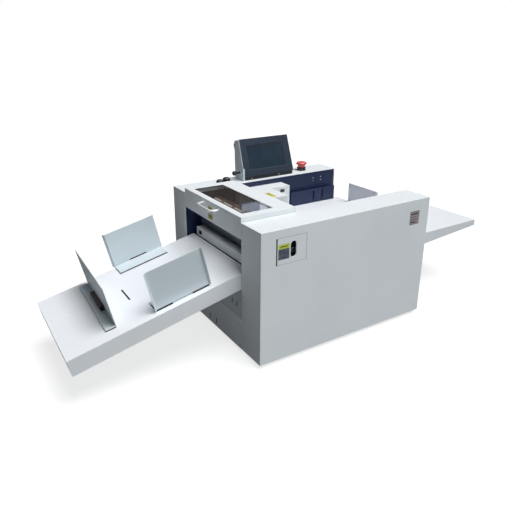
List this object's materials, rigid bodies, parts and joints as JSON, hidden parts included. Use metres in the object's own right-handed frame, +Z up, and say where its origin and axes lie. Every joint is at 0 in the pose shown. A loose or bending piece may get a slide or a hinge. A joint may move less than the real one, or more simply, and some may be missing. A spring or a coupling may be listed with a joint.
{
  "type": "sheet-fed rotary die cutting machine",
  "caption": "Desktop rotary die cutter for single sheets: feed table and feed head, hinged hood with window over the cutting cylinders, sloping delivery tray, touch panel and emergency stop.",
  "frame": {"origin": "centre of the footprint of the whole machine, trays included, on the surface that its feet stand on", "axes": "+X from the delivery end to the infeed end, against the paper; +Y from the operator side to the control side; +Z up"},
  "size_m": [1.5398, 0.552, 0.554],
  "materials": {
    "cover_white": "satin powder coat",
    "tray_white": "satin powder coat",
    "guide_grey": "satin powder coat",
    "beam_grey": "satin powder coat",
    "frame_navy": "satin powder coat",
    "base_black": "matt powder coat",
    "foot_rubber": "matt moulded rubber",
    "roller_rubber": "ground rubber",
    "belt_rubber": "toothed belt",
    "turned_steel": "turned and ground",
    "die_bronze": "bronze tinted plating",
    "handle_chrome": "polished",
    "window_smoke": "smoked polycarbonate",
    "control_black": "moulded, glossy",
    "bezel_slate": "fine moulded texture",
    "screen_glass": "dark touch glass",
    "stop_red": "moulded, glossy"
  },
  "bodies": {
    "machine": {"front_cover": "cover_white", "rear_cover": "cover_white", "delivery_lower_panel": "cover_white", "infeed_end_panel": "cover_white", "feed_head_cover": "cover_white", "delivery_tray": "tray_white", "infeed_table": "tray_white", "feed_table": "tray_white", "tray_bracket": "guide_grey", "panel_bracket": "guide_grey", "exit_beam": "beam_grey", "front_side_frame": "frame_navy", "rear_side_frame": "frame_navy", "exit_cross_stay": "frame_navy", "base_plate": "base_black", "panel_lip": "base_black", "foot_front_delivery": "foot_rubber", "foot_front_infeed": "foot_rubber", "foot_rear_delivery": "foot_rubber", "foot_rear_infeed": "foot_rubber", "feed_belt_1": "belt_rubber", "feed_belt_2": "belt_rubber", "drive_belt": "belt_rubber", "bearing_plate_front": "turned_steel", "bearing_plate_rear": "turned_steel", "hood_hinge_pin": "turned_steel", "drive_motor": "control_black", "power_inlet": "control_black", "stop_collar": "control_black"},
    "hood": {"hood_cover": "cover_white", "hood_window": "window_smoke", "hood_handle": "handle_chrome"},
    "access_door": {"access_door": "cover_white"},
    "die": {"die_cylinder": "die_bronze", "die_gear": "turned_steel", "die_hand_knob": "control_black"},
    "anvil": {"anvil_cylinder": "turned_steel", "anvil_gear": "turned_steel", "anvil_pulley": "turned_steel"},
    "motor_rotor": {"motor_pulley": "turned_steel"},
    "exit_lower": {"exit_roller_lower": "roller_rubber"},
    "exit_upper": {"exit_roller_upper": "turned_steel"},
    "register_lower": {"register_roller_lower": "roller_rubber"},
    "register_upper": {"register_roller_upper": "turned_steel"},
    "feed_drive": {"feed_drive_roller": "turned_steel"},
    "feed_idler": {"feed_idler_roller": "turned_steel"},
    "separator": {"separator_roller": "roller_rubber"},
    "side_guide_rear": {"feed_guide_rear": "frame_navy"},
    "side_guide_front": {"feed_guide_front": "frame_navy"},
    "tail_guide": {"feed_end_guide": "guide_grey"},
    "stack_guide_rear": {"tray_guide_rear": "guide_grey"},
    "stack_guide_front": {"tray_guide_front": "guide_grey"},
    "stack_stop": {"tray_guide_end": "guide_grey"},
    "panel": {"panel_bezel": "bezel_slate", "panel_screen": "screen_glass", "panel_case": "control_black"},
    "panel_screw": {"panel_thumb_screw": "control_black"},
    "stop_head": {"stop_button": "stop_red"},
    "air_knob_a": {"air_knob_small": "control_black"},
    "air_knob_b": {"air_knob_large": "control_black"}
  },
  "joints": [
    {"name": "hood_hinge", "type": "hinge", "parent": "machine", "child": "hood", "pos_m": [-0.08013, 0.004, 0.406], "axis": [0, 1, 0], "range_deg": [0, 78]},
    {"name": "access_door_hinge", "type": "hinge", "parent": "machine", "child": "access_door", "pos_m": [-0.21613, -0.273, 0.347], "axis": [0, 0, -1], "range_deg": [0, 105]},
    {"name": "die_spin", "type": "hinge", "parent": "machine", "child": "die", "pos_m": [-0.15313, 0.004, 0.33825], "axis": [0, 1, 0], "continuous": true},
    {"name": "anvil_spin", "type": "hinge", "parent": "machine", "child": "anvil", "pos_m": [-0.15313, 0.004, 0.24975], "axis": [0, 1, 0], "continuous": true},
    {"name": "motor_spin", "type": "hinge", "parent": "machine", "child": "motor_rotor", "pos_m": [-0.00913, 0.004, 0.108], "axis": [0, 1, 0], "continuous": true},
    {"name": "exit_lower_spin", "type": "hinge", "parent": "machine", "child": "exit_lower", "pos_m": [-0.20113, 0.004, 0.2818], "axis": [0, 1, 0], "continuous": true},
    {"name": "exit_upper_spin", "type": "hinge", "parent": "machine", "child": "exit_upper", "pos_m": [-0.20113, 0.004, 0.3042], "axis": [0, 1, 0], "continuous": true},
    {"name": "register_lower_spin", "type": "hinge", "parent": "machine", "child": "register_lower", "pos_m": [-0.10513, 0.004, 0.2818], "axis": [0, 1, 0], "continuous": true},
    {"name": "register_upper_spin", "type": "hinge", "parent": "machine", "child": "register_upper", "pos_m": [-0.10513, 0.004, 0.3042], "axis": [0, 1, 0], "continuous": true},
    {"name": "feed_drive_spin", "type": "hinge", "parent": "machine", "child": "feed_drive", "pos_m": [-0.05513, 0.004, 0.2766], "axis": [0, 1, 0], "continuous": true},
    {"name": "feed_idler_spin", "type": "hinge", "parent": "machine", "child": "feed_idler", "pos_m": [0.02887, 0.004, 0.2766], "axis": [0, 1, 0], "continuous": true},
    {"name": "separator_spin", "type": "hinge", "parent": "machine", "child": "separator", "pos_m": [-0.03513, 0.07, 0.3084], "axis": [0, 1, 0], "continuous": true},
    {"name": "side_guide_rear_slide", "type": "slide", "parent": "machine", "child": "side_guide_rear", "axis": [0, 1, 0], "range_m": [-0.05, 0]},
    {"name": "side_guide_front_slide", "type": "slide", "parent": "machine", "child": "side_guide_front", "axis": [0, 1, 0], "range_m": [0, 0.05]},
    {"name": "tail_guide_slide", "type": "slide", "parent": "machine", "child": "tail_guide", "axis": [1, 0, 0], "range_m": [-0.22, 0]},
    {"name": "stack_guide_rear_slide", "type": "slide", "parent": "machine", "child": "stack_guide_rear", "axis": [0, 1, 0], "range_m": [-0.1, 0]},
    {"name": "stack_guide_front_slide", "type": "slide", "parent": "machine", "child": "stack_guide_front", "axis": [0, 1, 0], "range_m": [0, 0.1]},
    {"name": "stack_stop_slide", "type": "slide", "parent": "machine", "child": "stack_stop", "axis": [0.9741, 0, 0.2261], "range_m": [-0.11, 0.08]},
    {"name": "panel_tilt", "type": "hinge", "parent": "machine", "child": "panel", "pos_m": [0.07887, 0.226, 0.4385], "axis": [1, 0, 0], "range_deg": [0, 18]},
    {"name": "panel_screw_turn", "type": "hinge", "parent": "machine", "child": "panel_screw", "pos_m": [-0.05113, 0.226, 0.4385], "axis": [1, 0, 0], "continuous": true},
    {"name": "stop_press", "type": "slide", "parent": "machine", "child": "stop_head", "axis": [0, 0, -1], "range_m": [0, 0.004]},
    {"name": "air_knob_a_turn", "type": "hinge", "parent": "machine", "child": "air_knob_a", "pos_m": [-0.12363, 0.213, 0.42], "axis": [0, 0, 1], "range_deg": [-150, 150]},
    {"name": "air_knob_b_turn", "type": "hinge", "parent": "machine", "child": "air_knob_b", "pos_m": [-0.09313, 0.22, 0.4215], "axis": [0, 0, 1], "range_deg": [-150, 150]}
  ],
  "couplings": [
    {"joint": "anvil_spin", "follows": "die_spin", "ratio": -1},
    {"joint": "motor_spin", "follows": "die_spin", "ratio": -1.8},
    {"joint": "exit_lower_spin", "follows": "die_spin", "ratio": -3.6667},
    {"joint": "exit_upper_spin", "follows": "die_spin", "ratio": 4.4},
    {"joint": "register_lower_spin", "follows": "die_spin", "ratio": -3.6667},
    {"joint": "register_upper_spin", "follows": "die_spin", "ratio": 4.4},
    {"joint": "feed_idler_spin", "follows": "feed_drive_spin", "ratio": 1}
  ]
}
